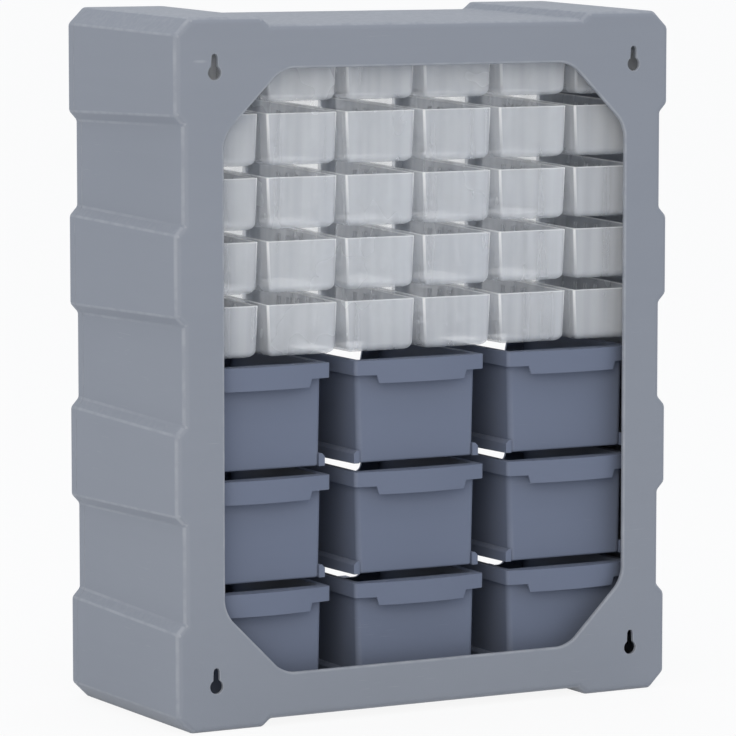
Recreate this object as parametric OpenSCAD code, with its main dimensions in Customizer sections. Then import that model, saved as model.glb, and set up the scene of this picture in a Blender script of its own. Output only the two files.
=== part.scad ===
// Parts bin cabinet: thirty small clear drawers above nine large bins.
// The frame is in millimetres with +Z up. The drawers open towards -Y, the open back faces +Y,
// and the origin is on the floor under the middle of the cabinet.

/* [Cabinet] */
// Depth of the whole cabinet, from the front of the frame to the back face
body_d = 160; // [140:1:200]
// Width of the frame beside the drawer grid, on each side
side_margin = 13.5; // [12:0.5:30]
// Height of the frame under the drawer grid
base_margin = 14.4; // [13:0.2:30]
// Height of the frame over the drawer grid
top_margin = 17.75; // [16:0.05:40]
// Wall of the rear shell
shell_wall = 2.4; // [1.6:0.1:3.5]
// Thickness of the back face
back_wall = 2.6; // [1.6:0.1:4]
// Moulding draft: how far each side and the top lean in, from the front of the shell to the back
draft = 3.4; // [0:0.2:5]
// Leg of the cut across each outer corner
corner_cut = 11; // [6:0.5:14]
// Rounding of the shell's back edge
back_edge_r = 4.5; // [2:0.5:7]

/* [Ribbed outline] */
// Depth of the sunk bands on the two sides
side_recess = 5.5; // [2:0.5:7]
// Depth of the sunk bands on the top and under the base
end_recess = 5; // [2:0.5:7]
// Length of the slope between a raised pad and a sunk band
pad_slope = 6; // [3:0.5:9]
// Height of a corner pad on the side
corner_pad_h = 69.7; // [50:0.1:80]
// Width of a corner pad on the top and the base
corner_pad_w = 69.5; // [50:0.5:100]
// Height of each of the two middle pads on the side
mid_pad_h = 60; // [40:1:70]

/* [Back opening] */
// Width of the back face beside the opening
back_side_w = 34.6; // [30:0.5:60]
// Height of the back face under the opening
back_low_h = 35; // [28:0.5:60]
// Height of the back face over the opening
back_top_h = 33.6; // [28:0.5:60]
// Leg of the cut across each corner of the opening
opening_cut = 43; // [36:1:60]
// Rounding where the opening changes direction
opening_r = 20; // [5:1:24]

/* [Keyholes] */
// Radius of the round part, which passes over a screw's head
key_r = 4.7; // [3.5:0.1:6]
// Radius of the slot's end, which holds the screw's shank
key_slot_r = 2.2; // [1.5:0.1:3]
// Height from the centre of the round part to the centre of the slot's end
key_rise = 10.2; // [7:0.2:13]
// Distance from the side of the back face to a keyhole's centre
key_side = 28.1; // [24:0.1:34]
// Height of the lower keyholes above the floor
key_low = 30; // [26:0.5:40]
// Distance from the top of the back face down to the upper keyholes
key_top = 35.6; // [32:0.1:45]

/* [Front frame] */
// Depth of the front frame outside the shell
frame_d = 10; // [8:0.5:16]
// Rounding of the frame's front edge
frame_edge_r = 3; // [1:0.5:4]
// Thickness of the frame's face
frame_wall = 2.4; // [1.6:0.1:3.5]
// Depth of the sleeve that reaches into the shell around the drawer grid
sleeve_d = 10; // [5:0.5:20]
// Wall of the sleeve
sleeve_wall = 2.4; // [1.6:0.1:3]

/* [Drawer grid] */
// Columns of small drawers
small_cols = 6; // [4:2:6]
// Rows of small drawers
small_rows = 5; // [4:1:5]
// Rows of large bins, each as wide as two small drawers
bin_rows = 3; // [2:1:3]
// Distance between the centres of two small drawers, sideways
pitch_x = 58.5; // [54:0.5:70]
// Height of one row of small drawers
small_pitch_z = 41.9; // [38:0.1:60]
// Height of one row of large bins
bin_pitch_z = 74.65; // [70:0.05:100]
// Thickness of a shelf
shelf_t = 2; // [1.6:0.1:3]
// Thickness of the rail between the small drawers and the bins
mid_rail_t = 4.4; // [2:0.2:10]
// Depth of the top rail, shelves and uprights that the small drawers slide in
small_guide_d = 12; // [8:1:60]
// Depth of the lower rails, shelves and channels that the bins slide in
guide_d = 34; // [25:1:60]
// Thickness of an upright between two small drawers
upright_t = 5.5; // [3:0.1:7]
// Extra thickness of the grid's outer walls
grid_edge = 1; // [0.5:0.1:2]
// Width of a guide channel between two bins
channel_w = 17.6; // [12:0.2:24]
// Wall of a guide channel
channel_wall = 2; // [1.2:0.1:3]

/* [Drawers] */
// Thickness of a drawer's front panel
panel_t = 2.3; // [1.6:0.1:3.5]
// Space between two neighbouring front panels
panel_gap = 2; // [1.2:0.1:3]
// Rounding of a front panel's corners
panel_r = 2.5; // [1:0.5:4]
// Running clearance under a drawer and behind its front panel
run_gap = 0.3; // [0.2:0.05:0.5]
// Running clearance at each side of a drawer
side_gap = 0.45; // [0.3:0.05:1]
// Space left over a drawer's open top, under the shelf above
small_head = 5.2; // [2:0.2:8]
// Space left behind the drawers, in front of the back face
rear_gap = 9.4; // [6:0.2:20]
// How much further from the back face a small drawer ends than a bin
small_short = 2; // [0:0.5:6]
// Wall of a small drawer
small_wall = 1.4; // [1:0.1:2]
// How much narrower a small drawer is at its floor, on each side
small_lean = 1.4; // [0.5:0.1:2.5]
// Rounding along a small drawer's floor
small_floor_r = 5; // [2:0.5:8]
// Width of a small drawer's finger pull
small_pull_w = 22; // [14:1:34]
// Thickness of a finger pull
pull_t = 2; // [1.4:0.1:3]
// Height of a finger pull's turned-up edge
pull_lip = 5; // [3:0.5:8]
// Height of a small drawer's finger pull above its panel's lower edge
pull_low = 5; // [3:0.5:12]

/* [Bins] */
// Wall of a bin
bin_wall = 1.8; // [1.4:0.1:2.6]
// Space left over a bin's rim, under the shelf above
bin_head = 0.85; // [0.5:0.05:3]
// How far the rim stands out past the body at each side
rim_out = 3.6; // [2.5:0.1:6]
// How far the rim stands out past the body at the rear
rim_rear = 6; // [4:0.5:9]
// Height of the rim's skirt
rim_h = 10; // [6:0.5:14]
// Thickness of the rim's skirt and top
rim_t = 1.6; // [1.2:0.1:2.2]
// How far the rear of the rim bows out in its middle
rim_bow = 2.5; // [1:0.1:4]
// How much narrower a bin is at its floor, on each side
bin_lean = 1.6; // [0.5:0.1:2.5]
// Rounding along a bin's floor
bin_floor_r = 4; // [2:0.5:6]
// Height of the runners under a bin's floor
runner_h = 2.4; // [1.5:0.1:4]
// How far the runners rise up the sides of a bin
runner_rise = 8.5; // [4:0.5:14]
// How far a runner's side stays inside the rim's edge
runner_in = 0.8; // [0.2:0.1:2]
// How far a runner stands out past the body at the rear
runner_back = 1.5; // [0:0.5:3]
// Rounding of the rim's rear corners
rim_r = 3; // [2:0.5:5]
// Width of the flap in the middle of the rear rim
flap_w = 68; // [40:1:80]
// How far the flap hangs below the rim's skirt
flap_drop = 5.5; // [2:0.5:9]
// How far the flap stands out from the rim
flap_out = 1.2; // [0.6:0.1:2]
// Width of the finger notch at the top of a bin's front
notch_w = 62; // [44:1:80]
// Depth of the finger notch
notch_d = 20; // [12:1:28]
// How far each side of the notch leans in, from its top to its bottom
notch_lean = 5; // [2:0.5:12]
// Rounding of the notch's lower corners
notch_r = 7; // [2:0.5:12]
// Width of a bin's finger pull
bin_pull_w = 44; // [30:1:60]

/* [Hidden] */
ARC_STEPS = 5;
THROUGH = 1;
BIN_COLUMNS = small_cols / 2;

grid_w = small_cols * pitch_x + 2 * grid_edge;
half_w = grid_w / 2 + side_margin;
bins_z = base_margin + shelf_t;
small_z = bins_z + bin_rows * bin_pitch_z - shelf_t + mid_rail_t;
grid_top = small_z + small_rows * small_pitch_z;
body_h = grid_top + top_margin;

front_y = -body_d / 2;
back_y = body_d / 2;
shell_front = front_y + frame_d;
shell_d = back_y - shell_front;
inside_back = back_y - back_wall;

pad_turn = tan(atan(side_recess / pad_slope) / 2);
end_turn = tan(atan(end_recess / pad_slope) / 2);
cut_turn = tan(22.5);

key_x = half_w - draft - key_side;
key_high = body_h - draft - key_top;

grid_y = shell_front;
guide_rear = grid_y + guide_d;
small_guide_rear = grid_y + small_guide_d;
panel_back = grid_y - run_gap;
panel_front = panel_back - panel_t;
rear_limit = inside_back - rear_gap;

small_w = pitch_x - upright_t - 2 * side_gap;
small_h = small_pitch_z - shelf_t - run_gap - small_head;
small_rear = rear_limit - small_short;
small_panel_w = pitch_x - panel_gap;
small_panel_h = small_pitch_z - panel_gap;

bin_pitch_x = 2 * pitch_x;
bin_opening = bin_pitch_x - channel_w;
rim_w = bin_opening - 2 * side_gap;
bin_w = rim_w - 2 * rim_out;
bin_rear = rear_limit - rim_rear;
bin_body_h = bin_pitch_z - shelf_t - run_gap - runner_h - bin_head;
bin_panel_w = bin_pitch_x - panel_gap;
bin_panel_h = bin_pitch_z - panel_gap;
panel_low = panel_gap / 2;

SMALL_CELLS = [for (r = [1:small_rows]) for (c = [1:small_cols]) [r, c]];
BIN_CELLS = [for (r = [1:bin_rows]) for (c = [1:BIN_COLUMNS]) [r, c]];
SMALL_SHELVES = [for (r = [1:small_rows - 1]) r];
BIN_SHELVES = [for (r = [1:bin_rows - 1]) r];

SHELL_COLOUR = [0.52, 0.55, 0.60];
GRID_COLOUR = [0.47, 0.50, 0.56];
CLEAR_COLOUR = [0.82, 0.86, 0.90];
BIN_COLOUR = [0.36, 0.40, 0.48];

// Column 1 is at +X, which is the left when the cabinet is seen from behind. Row 1 is the top row.
function small_x(c) = ((small_cols + 1) / 2 - c) * pitch_x;
function small_floor(r) = small_z + (small_rows - r) * small_pitch_z;
function bin_x(c) = ((BIN_COLUMNS + 1) / 2 - c) * bin_pitch_x;
function bin_floor(r) = bins_z + (bin_rows - r) * bin_pitch_z;

function last(list) = len(list) - 1;
function flipped(list) = [for (i = [last(list):-1:0]) [-list[i][0], list[i][1]]];

// The points of a polygon with each corner rounded to r by short chords.
function unit(v) = v / norm(v);
function corner_arc(a, p, b, r) =
    let (
        u = unit(a - p),
        v = unit(b - p),
        half = acos(u * v) / 2,
        m = p + unit(u + v) * r / sin(half),
        start = p + u * r / tan(half) - m,
        stop = p + v * r / tan(half) - m,
        a0 = atan2(start[1], start[0]),
        turn = atan2(start[0] * stop[1] - start[1] * stop[0], start * stop)
    )
    [for (i = [0:ARC_STEPS]) m + r * [cos(a0 + turn * i / ARC_STEPS), sin(a0 + turn * i / ARC_STEPS)]];
function rounded(points, r) = [
    for (i = [0:last(points)])
        let (
            before = points[(i + last(points)) % len(points)],
            after = points[(i + 1) % len(points)],
            corner_r = is_list(r) ? r[i] : r
        )
        each corner_r > 0 ? corner_arc(before, points[i], after, corner_r) : [points[i]]
];
function corners_of(x, low, high) = [[x, low], [x, high], [-x, high], [-x, low]];

// The outline of the cabinet in X and Z. share goes from 0 at the shell's front to 1 at its back,
// and inset moves the whole outline inwards by one distance.
function pads(share, inset) =
    let (
        lean = draft * share + inset * pad_turn,
        band = (body_h - 2 * corner_pad_h - 2 * mid_pad_h) / 3,
        low_pad = corner_pad_h + band
    )
    [
        corner_pad_h - lean,
        low_pad + lean,
        low_pad + mid_pad_h - lean,
        body_h - low_pad - mid_pad_h + lean,
        body_h - low_pad - lean,
        body_h - corner_pad_h + lean
    ];
function side_band(x, low, high) = [
    [x, low], [x - side_recess, low + pad_slope], [x - side_recess, high - pad_slope], [x, high]
];
function half_outline(share, inset) =
    let (
        x = half_w - draft * share - inset,
        low = inset,
        high = body_h - draft * share - inset,
        cut = corner_cut - inset + inset * cut_turn,
        p = pads(share, inset),
        pad_x = half_w - corner_pad_w + draft * share + inset * end_turn
    )
    concat(
        [[pad_x - pad_slope, low + end_recess], [pad_x, low], [x - cut, low], [x, low + cut]],
        side_band(x, p[0], p[1]),
        side_band(x, p[2], p[3]),
        side_band(x, p[4], p[5]),
        [[x, high - cut], [x - cut, high], [pad_x, high], [pad_x - pad_slope, high - end_recess]]
    );
function outline(share, inset) =
    let (half = half_outline(share, inset))
    concat(half, flipped(half));

// A hollow solid from a closed chain of rings, each given as [y, points]. The chain runs back along
// the outside and forwards along the inside, and each ring starts right of its bottom centre. Two
// rings with different numbers of points lie in one plane, and triangles fill the space between
// them in the order of their points' angles around the middle.
function ring_start(rings, k) = k == 0 ? 0 : ring_start(rings, k - 1) + len(rings[k - 1][1]);
function angle_at(ring, k) =
    let (p = ring[k % len(ring)])
    (atan2(p[0], body_h / 2 - p[1]) + 360) % 360 + (k < len(ring) ? 0 : 360);
function stitched(ring_a, a, ring_b, b, i, j) =
    let (
        n = len(ring_a),
        m = len(ring_b),
        a_next = i < n && (j == m || angle_at(ring_a, i + 1) < angle_at(ring_b, j + 1))
    )
    i == n && j == m ? []
    : a_next ? concat([[a + i, a + (i + 1) % n, b + j % m]], stitched(ring_a, a, ring_b, b, i + 1, j))
    : concat([[a + i % n, b + (j + 1) % m, b + j]], stitched(ring_a, a, ring_b, b, i, j + 1));
function joined(ring_a, a, ring_b, b) =
    let (n = len(ring_a))
    n == len(ring_b) ? [for (i = [0:n - 1]) [a + i, a + (i + 1) % n, b + (i + 1) % n, b + i]]
    : stitched(ring_a, a, ring_b, b, 0, 0);
module ring_chain(rings) {
    polyhedron(
        points = [for (ring = rings) for (p = ring[1]) [p[0], ring[0], p[1]]],
        faces = [for (k = [0:last(rings)])
            let (next = (k + 1) % len(rings))
            each joined(rings[k][1], ring_start(rings, k), rings[next][1], ring_start(rings, next))]
    );
}

// Draws a shape in X and Z and gives it a length along Y, from y0 back to y1.
module along_y(y0, y1) {
    translate([0, y1, 0]) rotate([90, 0, 0]) linear_extrude(y1 - y0) children();
}

module box(x0, x1, y0, y1, z0, z1) {
    translate([x0, y0, z0]) cube([x1 - x0, y1 - y0, z1 - z0]);
}

module keyhole(x, z) {
    translate([x, back_y + THROUGH, z]) rotate([90, 0, 0]) {
        cylinder(r = key_r, h = back_wall + 2 * THROUGH, $fn = 64);
        translate([0, key_rise, 0]) cylinder(r = key_slot_r, h = back_wall + 2 * THROUGH, $fn = 48);
        translate([-key_slot_r, 0, 0]) cube([2 * key_slot_r, key_rise, back_wall + 2 * THROUGH]);
    }
}

function back_opening() =
    let (
        x = half_w - draft - back_side_w,
        low = back_low_h,
        high = body_h - draft - back_top_h,
        cut = opening_cut
    )
    rounded([
        [x - cut, low], [x, low + cut], [x, high - cut], [x - cut, high],
        [-x + cut, high], [-x, high - cut], [-x, low + cut], [-x + cut, low]
    ], opening_r);

module rear_shell() color(SHELL_COLOUR) {
    curve_y = back_y - back_edge_r;
    straight = (curve_y - shell_front) / shell_d;
    difference() {
        ring_chain(concat(
            [[shell_front, outline(0, 0)]],
            [for (i = [0:ARC_STEPS])
                let (a = 90 * i / ARC_STEPS)
                [curve_y + back_edge_r * sin(a), outline(straight, back_edge_r * (1 - cos(a)))]],
            [
                [back_y, back_opening()],
                [inside_back, back_opening()],
                [inside_back, outline((inside_back - shell_front) / shell_d, shell_wall)],
                [shell_front, outline(0, shell_wall)]
            ]
        ));
        for (x = [-key_x, key_x]) for (z = [key_low, key_high]) keyhole(x, z);
    }
}

module front_frame() color(SHELL_COLOUR) {
    face_back = front_y + frame_wall;
    sleeve_back = shell_front + sleeve_d;
    opening = corners_of(grid_w / 2, base_margin, grid_top);
    sleeve = corners_of(grid_w / 2 + sleeve_wall, base_margin - sleeve_wall, grid_top + sleeve_wall);
    ring_chain(concat(
        [for (i = [0:ARC_STEPS])
            let (a = 90 * i / ARC_STEPS)
            [front_y + frame_edge_r * (1 - cos(a)), outline(0, frame_edge_r * (1 - sin(a)))]],
        [
            [shell_front, outline(0, 0)],
            [shell_front, outline(0, shell_wall)],
            [face_back, outline(0, shell_wall)],
            [face_back, sleeve],
            [sleeve_back, sleeve],
            [sleeve_back, opening],
            [front_y, opening]
        ]
    ));
}

module shelf(z0, z1, rear) color(GRID_COLOUR) {
    box(-grid_w / 2, grid_w / 2, grid_y, rear, z0, z1);
}

module top_rail() shelf(grid_top - shelf_t, grid_top, small_guide_rear);
module middle_rail() shelf(small_z - mid_rail_t, small_z, guide_rear);
module base_rail() shelf(base_margin, bins_z, guide_rear);
module small_shelf(r) shelf(small_floor(r) - shelf_t, small_floor(r), small_guide_rear);
module bin_shelf(r) shelf(bin_floor(r) - shelf_t, bin_floor(r), guide_rear);

module small_uprights() color(GRID_COLOUR) {
    for (r = [1:small_rows]) {
        low = small_floor(r);
        high = low + small_pitch_z - shelf_t;
        for (c = [1:small_cols - 1]) {
            x = (small_x(c) + small_x(c + 1)) / 2;
            box(x - upright_t / 2, x + upright_t / 2, grid_y, small_guide_rear, low, high);
        }
        for (side = [-1, 1]) {
            inner = small_x(1) + pitch_x / 2 - upright_t / 2;
            x = side * (inner + grid_w / 2) / 2;
            w = grid_w / 2 - inner;
            box(x - w / 2, x + w / 2, grid_y, small_guide_rear, low, high);
        }
    }
}

// A channel is open to the rear. Its two flanges guide the bins' rims and runners.
module channel(x0, x1, low, high) {
    difference() {
        box(x0, x1, grid_y, guide_rear, low, high);
        box(x0 + channel_wall, x1 - channel_wall, grid_y + channel_wall, guide_rear + THROUGH,
            low - THROUGH, high + THROUGH);
    }
}

module bin_channels() color(GRID_COLOUR) {
    for (r = [1:bin_rows]) {
        low = bin_floor(r);
        high = low + bin_pitch_z - shelf_t;
        for (c = [1:BIN_COLUMNS - 1]) {
            x = (bin_x(c) + bin_x(c + 1)) / 2;
            channel(x - channel_w / 2, x + channel_w / 2, low, high);
        }
        inner = bin_x(1) + bin_opening / 2;
        channel(inner, grid_w / 2, low, high);
        channel(-grid_w / 2, -inner, low, high);
    }
}

// The section of a drawer's body, wider at its top than at its floor.
function tray(w, lean, h, r) = rounded(
    [[-w / 2 + lean, 0], [w / 2 - lean, 0], [w / 2, h], [-w / 2, h]],
    [r, r, 0, 0]
);

module tray_shell(w, lean, h, r, wall, rear) {
    difference() {
        along_y(panel_back - panel_t / 2, rear) polygon(tray(w, lean, h, r));
        along_y(panel_back, rear - wall) translate([0, wall])
            polygon(tray(w - 2 * wall, lean, h, r - wall));
    }
}

module panel(w, h) {
    along_y(panel_front, panel_back) translate([0, -panel_low])
        polygon(rounded(corners_of(w / 2, 0, h), panel_r));
}

// A finger pull: a level tab with a lip at its front edge, which rises or, with a negative
// height, hangs. z is the tab's upper side.
module pull(w, z, lip) {
    box(-w / 2, w / 2, front_y, panel_front + panel_t / 2, z - pull_t, z);
    box(-w / 2, w / 2, front_y, front_y + pull_t, min(z - pull_t, z + lip), max(z, z - pull_t + lip));
}

module small_drawer(r, c) color(CLEAR_COLOUR) translate([small_x(c), 0, small_floor(r)]) {
    translate([0, 0, run_gap])
        tray_shell(small_w, small_lean, small_h, small_floor_r, small_wall, small_rear);
    panel(small_panel_w, small_panel_h);
    pull(small_pull_w, pull_low + pull_t - panel_low, pull_lip);
}

// The plan of the rim, which bows out at the rear. grow moves its edge outwards.
module rim_plan(grow) {
    x = rim_w / 2 + grow;
    y0 = panel_back - panel_t / 2;
    y1 = rear_limit + grow;
    corner_r = rim_r + rim_bow + grow;
    bow_r = (pow(rim_w / 2, 2) + pow(rim_bow, 2)) / (2 * rim_bow);
    intersection() {
        polygon(rounded([[-x, y0], [x, y0], [x, y1], [-x, y1]], [0, 0, corner_r, corner_r]));
        translate([0, rear_limit - bow_r]) circle(r = bow_r + grow, $fn = 256);
    }
}

module bin_rim() {
    top = runner_h + bin_body_h;
    inside_w = bin_w - 2 * bin_wall;
    difference() {
        translate([0, 0, top - rim_h]) linear_extrude(rim_h) rim_plan(0);
        translate([0, 0, top - rim_h - THROUGH]) linear_extrude(rim_h - rim_t + THROUGH) rim_plan(-rim_t);
        box(-inside_w / 2, inside_w / 2, panel_back, bin_rear - bin_wall, top - rim_h, top + THROUGH);
    }
}

module bin_flap() {
    top = runner_h + bin_body_h;
    translate([0, 0, top - rim_h - flap_drop]) linear_extrude(rim_h + flap_drop - rim_t) intersection() {
        difference() {
            rim_plan(flap_out);
            rim_plan(-rim_t);
        }
        translate([-flap_w / 2, bin_rear]) square([flap_w, rim_rear + flap_out + THROUGH]);
    }
}

// A runner bar stands under each lower edge of a bin and rises a little way up its side.
module bin_runner(side) {
    outer = rim_w / 2 - runner_in;
    inner = bin_w / 2 - bin_lean - bin_floor_r;
    box(side > 0 ? inner : -outer, side > 0 ? outer : -inner, panel_back - panel_t / 2,
        bin_rear + runner_back, 0, runner_h + runner_rise);
}

module bin_notch() {
    top = bin_panel_h - panel_low;
    half = notch_w / 2;
    points = [
        [-half - notch_lean, top + notch_d], [-half + notch_lean, top - notch_d],
        [half - notch_lean, top - notch_d], [half + notch_lean, top + notch_d]
    ];
    along_y(front_y - THROUGH, panel_back + THROUGH) polygon(rounded(points, [0, notch_r, notch_r, 0]));
}

module large_bin(r, c) color(BIN_COLOUR) translate([bin_x(c), 0, bin_floor(r)]) {
    difference() {
        union() {
            translate([0, 0, run_gap]) {
                difference() {
                    union() {
                        translate([0, 0, runner_h])
                            tray_shell(bin_w, bin_lean, bin_body_h, bin_floor_r, bin_wall, bin_rear);
                        bin_runner(1);
                        bin_runner(-1);
                    }
                    translate([0, 0, runner_h]) along_y(panel_back, bin_rear - bin_wall)
                        translate([0, bin_wall]) polygon(tray(
                            bin_w - 2 * bin_wall, bin_lean, bin_body_h, bin_floor_r - bin_wall));
                }
                bin_rim();
                bin_flap();
            }
            panel(bin_panel_w, bin_panel_h);
        }
        bin_notch();
    }
    pull(bin_pull_w, bin_panel_h - panel_low - notch_d, -pull_lip);
}

rear_shell();
front_frame();
top_rail();
middle_rail();
base_rail();
small_uprights();
bin_channels();
for (r = SMALL_SHELVES) small_shelf(r);
for (r = BIN_SHELVES) bin_shelf(r);
for (p = SMALL_CELLS)
    small_drawer(p[0], p[1]);
for (p = BIN_CELLS)
    large_bin(p[0], p[1]);
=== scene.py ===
"""Looks of a parts bin cabinet: thirty small clear drawers over nine large bins in a ribbed shell.

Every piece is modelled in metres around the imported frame. +Z is up, the drawers open towards -Y and
the open back faces +Y. Row 1 is the top row, and column 1 is the one at +X.
"""

import math

import bmesh
import bpy
from bpy.props import FloatProperty, FloatVectorProperty, IntProperty, PointerProperty
from mathutils import Matrix, Vector


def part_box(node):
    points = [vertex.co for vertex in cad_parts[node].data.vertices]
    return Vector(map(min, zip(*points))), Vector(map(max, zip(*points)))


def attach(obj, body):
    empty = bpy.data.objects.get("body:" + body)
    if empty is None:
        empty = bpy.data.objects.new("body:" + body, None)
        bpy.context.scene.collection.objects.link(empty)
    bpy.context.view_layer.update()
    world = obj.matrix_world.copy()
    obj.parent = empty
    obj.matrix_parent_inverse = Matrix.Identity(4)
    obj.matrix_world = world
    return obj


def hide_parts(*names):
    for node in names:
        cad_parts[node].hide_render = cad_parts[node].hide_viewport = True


bl_info = {
    "name": "Parts bin cabinet",
    "version": (1, 0, 0),
    "blender": (4, 5, 0),
    "location": "View3D > Sidebar > Cabinet",
    "description": "Builds the shell, drawers and bins of a parts cabinet around its packed frame",
    "category": "Object",
}

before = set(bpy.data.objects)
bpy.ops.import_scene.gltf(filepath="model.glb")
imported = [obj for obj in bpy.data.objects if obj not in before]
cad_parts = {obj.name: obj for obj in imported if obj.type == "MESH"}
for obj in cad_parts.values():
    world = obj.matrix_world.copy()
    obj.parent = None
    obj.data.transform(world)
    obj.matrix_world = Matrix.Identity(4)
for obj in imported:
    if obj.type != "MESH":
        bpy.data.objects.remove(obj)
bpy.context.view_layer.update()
SHELL_LOW, SHELL_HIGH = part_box("rear_shell")
BEZEL_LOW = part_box("front_frame")[0]
GRID_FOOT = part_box("base_rail")[0].z
GRID_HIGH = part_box("top_rail")[1]

MM = 0.001
PULL_OUT = 7.4 * MM  # how far a pull stands out of its front panel
BODY_LIFT = 1.0 * MM  # from the foot of a front panel up to the shelf that its drawer slides on
SINK = 0.3 * MM  # how far a form that is added reaches into the one that it stands on
CABINET = "cabinet"
SHARP = math.radians(38)  # faces that meet at more than this are shaded apart
# attribute that marks rounded outer edges, made paler partly as wear and partly as a painted highlight
WEAR_AND_HIGHLIGHT = "edge wear and highlight"
# attribute that marks where a highlight and a faint glow are painted on the milky plastic
PAINTED_HIGHLIGHT = "painted highlight"
PANEL = "panel"
SMALL_DRAWERS = sorted(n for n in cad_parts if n.startswith("small_drawer_"))
LARGE_BINS = sorted(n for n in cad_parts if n.startswith("large_bin_"))
GRID_NODES = sorted(
    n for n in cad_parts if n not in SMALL_DRAWERS + LARGE_BINS + ["rear_shell", "front_frame"]
)


# ---------------------------------------------------------------- settings


def length(name, description, millimetres):
    return FloatProperty(
        name=name, description=description, default=millimetres * MM, min=0.0, unit="LENGTH", precision=5
    )


def share(name, description, value):
    return FloatProperty(
        name=name, description=description, default=value, min=0.0, max=1.0, subtype="FACTOR"
    )


def colour(name, description, value):
    return FloatVectorProperty(
        name=name, description=description, default=value, min=0.0, max=1.0, size=3, subtype="COLOR"
    )


class ShellSettings(bpy.types.PropertyGroup):
    wall: length("Wall", "Wall of the rear shell and the front frame", 2.4)
    draft: length("Draft", "How far the sides and the top lean in towards the back", 3.4)
    corner_cut: length("Corner cut", "Leg of the cut across each outer corner", 11.0)
    side_recess: length("Side recess", "Depth of the sunk bands on the sides", 5.5)
    end_recess: length("End recess", "Depth of the sunk bands on the top and the base", 5.0)
    pad_slope: length("Pad slope", "Length of the slope between a raised pad and a sunk band", 6.0)
    corner_pad_h: length("Corner pad height", "Height of a corner pad on the side", 69.7)
    corner_pad_w: length("Corner pad width", "Width of a corner pad on the top and the base", 69.5)
    mid_pad_h: length("Middle pad height", "Height of each middle pad on the side", 60.0)
    back_round: length("Back rounding", "Rounding of the shell's back edge", 4.5)
    front_round: length("Front rounding", "Rounding of the frame's front edge", 3.0)
    crease_round: length("Crease rounding", "Rounding of the long creases between pads and bands", 1.4)
    seam_round: length("Seam rounding", "Rounding where the shell and the frame meet", 0.7)
    opening_side: length("Opening side", "Back face beside the opening", 34.6)
    opening_low: length("Opening low", "Back face under the opening", 35.0)
    opening_top: length("Opening top", "Back face over the opening", 33.6)
    opening_cut: length("Opening cut", "Leg of the cut across each corner of the opening", 43.0)
    opening_round: length("Opening rounding", "Rounding where the opening changes direction", 20.0)
    opening_lip: length("Opening lip", "Rounding of the opening's edge", 0.9)
    key_radius: length("Keyhole radius", "Radius of a keyhole's round part", 4.7)
    key_slot: length("Keyhole slot", "Half the width of a keyhole's slot", 2.2)
    key_rise: length("Keyhole rise", "Height of a keyhole's slot over its round part's centre", 10.2)
    key_side: length("Keyhole side", "Distance from the side of the back face to a keyhole", 28.1)
    key_low: length("Keyhole low", "Height of the lower keyholes", 30.0)
    key_top: length("Keyhole top", "Distance from the top of the back face to the upper keyholes", 35.6)
    sleeve: length("Sleeve", "Depth of the frame's sleeve behind the parting line", 10.0)
    tone: colour("Tone", "Main tone of the shell", (0.256, 0.279, 0.325))
    tone_other: colour("Other tone", "Second tone that drifts over the shell", (0.245, 0.268, 0.313))
    roughness: share("Roughness", "Roughness of the shell", 0.56)


class GridSettings(bpy.types.PropertyGroup):
    edge_round: length("Edge rounding", "Rounding of the grid's edges", 0.4)
    tone: colour("Tone", "Main tone of the guide grid", (0.215, 0.238, 0.275))
    tone_other: colour("Other tone", "Second tone of the guide grid", (0.190, 0.214, 0.250))
    roughness: share("Roughness", "Roughness of the guide grid", 0.55)


class DrawerSettings(bpy.types.PropertyGroup):
    body_w: length("Body width", "Width of a drawer's body at its top", 52.1)
    body_h: length("Body height", "Height of a drawer's body", 34.4)
    lean: length("Lean", "How much narrower the floor is, on each side", 1.4)
    rear_lean: length("Rear lean", "How far the rear wall's foot stands forward of its top", 0.6)
    front_rise: length("Front rise", "How much higher the body is in front than at its rear wall", 4.0)
    wall: length("Wall", "Wall of a small drawer", 1.4)
    run_gap: length("Running gap", "Clearance under the drawer", 0.3)
    floor_round: length("Floor rounding", "Rounding along the floor", 5.0)
    corner_round: length("Corner rounding", "Rounding of the upright rear corners", 1.7)
    rim_round: length("Rim rounding", "Rounding of the wall's top edge", 0.35)
    panel_t: length("Panel thickness", "Thickness of the front panel", 2.3)
    panel_round: length("Panel rounding", "Rounding of the front panel's corners", 2.5)
    panel_edge: length("Panel edge", "Rounding of the front panel's edges", 0.5)
    pull_w: length("Pull width", "Width of the finger pull", 22.0)
    pull_t: length("Pull thickness", "Thickness of the finger pull", 2.0)
    pull_low: length("Pull height", "Height of the pull over the panel's lower edge", 5.0)
    pull_lip: length("Pull lip", "Height of the pull's turned-up edge", 5.0)
    # height of the painted highlight and glow along the rim
    line_w: length("Painted highlight", "Height of the painted highlight along the rim", 0.9)
    rib_w: length("Rib width", "Width of a divider rib", 1.3)
    rib_out: length("Rib depth", "How far a divider rib stands out of the wall", 0.9)
    rib_pitch: length("Rib pitch", "Distance between the divider slots", 13.5)
    rib_slots: IntProperty(name="Divider slots", description="Divider slots on each side", default=3, min=0)
    slot_w: length("Slot width", "Distance between the two ribs of a slot", 3.2)
    tone: colour("Tone", "Tone of the milky plastic", (0.93, 0.96, 1.0))
    tone_other: colour("Other tone", "Second tone of the milky plastic", (0.90, 0.935, 0.99))
    cover: share("Cover", "How much one surface of the milky plastic covers", 0.42)
    panel_cover: share("Panel cover", "How much one surface of a front panel covers", 0.3)
    panel_shade: share("Panel shade", "How much less light the thick front panel lets through", 0.04)
    clearness: share("Clearness", "Share of the light that the milky plastic lets through", 0.3)
    roughness: share("Roughness", "Roughness of the milky plastic", 0.24)


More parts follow.
